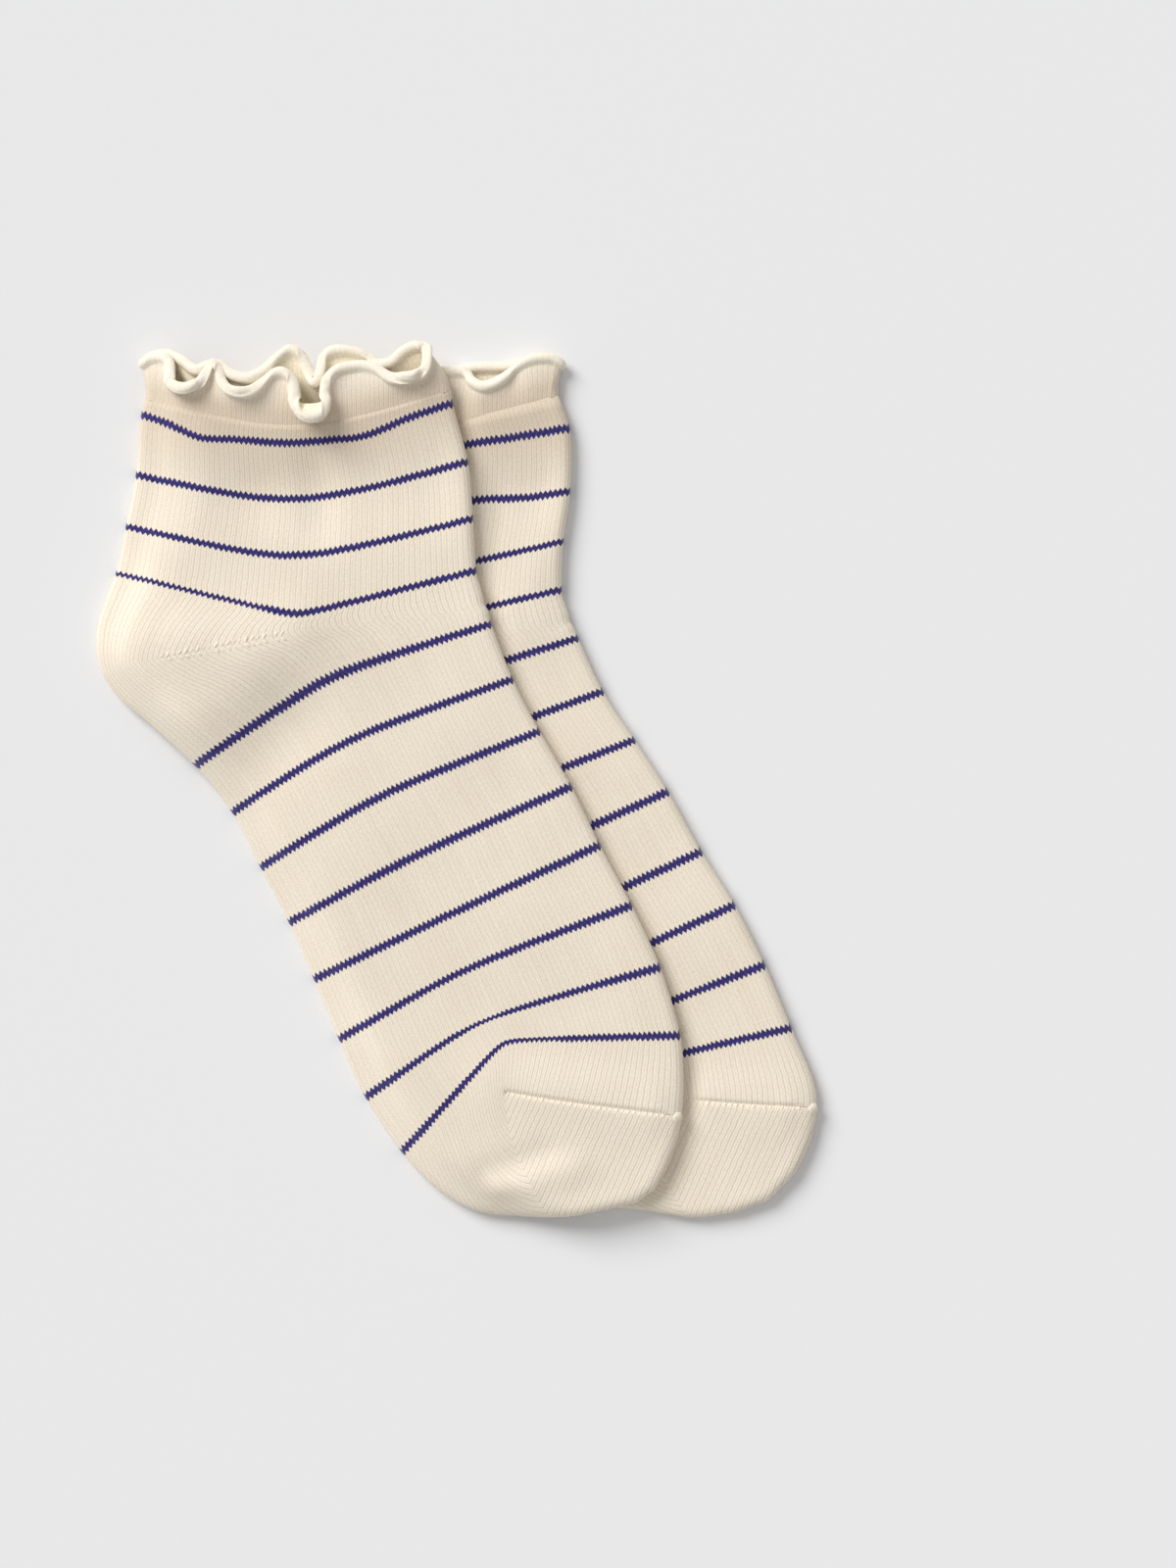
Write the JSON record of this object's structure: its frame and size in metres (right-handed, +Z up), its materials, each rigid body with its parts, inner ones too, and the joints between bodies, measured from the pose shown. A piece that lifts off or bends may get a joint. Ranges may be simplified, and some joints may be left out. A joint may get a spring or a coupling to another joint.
{
  "type": "pair of ankle socks",
  "caption": "Ankle socks laid flat and overlapping, each a knitted tube with a turned heel, a rounded toe and a wavy ruffled cuff.",
  "frame": {"origin": "middle of the pair, seen from above, on the surface that it lies on", "axes": "+X from the heels to the insteps, +Y up the legs, +Z up from the surface"},
  "size_m": [0.2162, 0.2624, 0.0195],
  "materials": {
    "sock_knit": "matt plain knit in cream yarn with thin even indigo stripes",
    "ruffle_knit": "matt plain knit in cream yarn with a rolled lettuce edge"
  },
  "bodies": {
    "root": {"top_sock": "sock_knit", "top_sock_ruffle": "ruffle_knit", "under_sock": "sock_knit", "under_sock_ruffle": "ruffle_knit"}
  },
  "joints": []
}
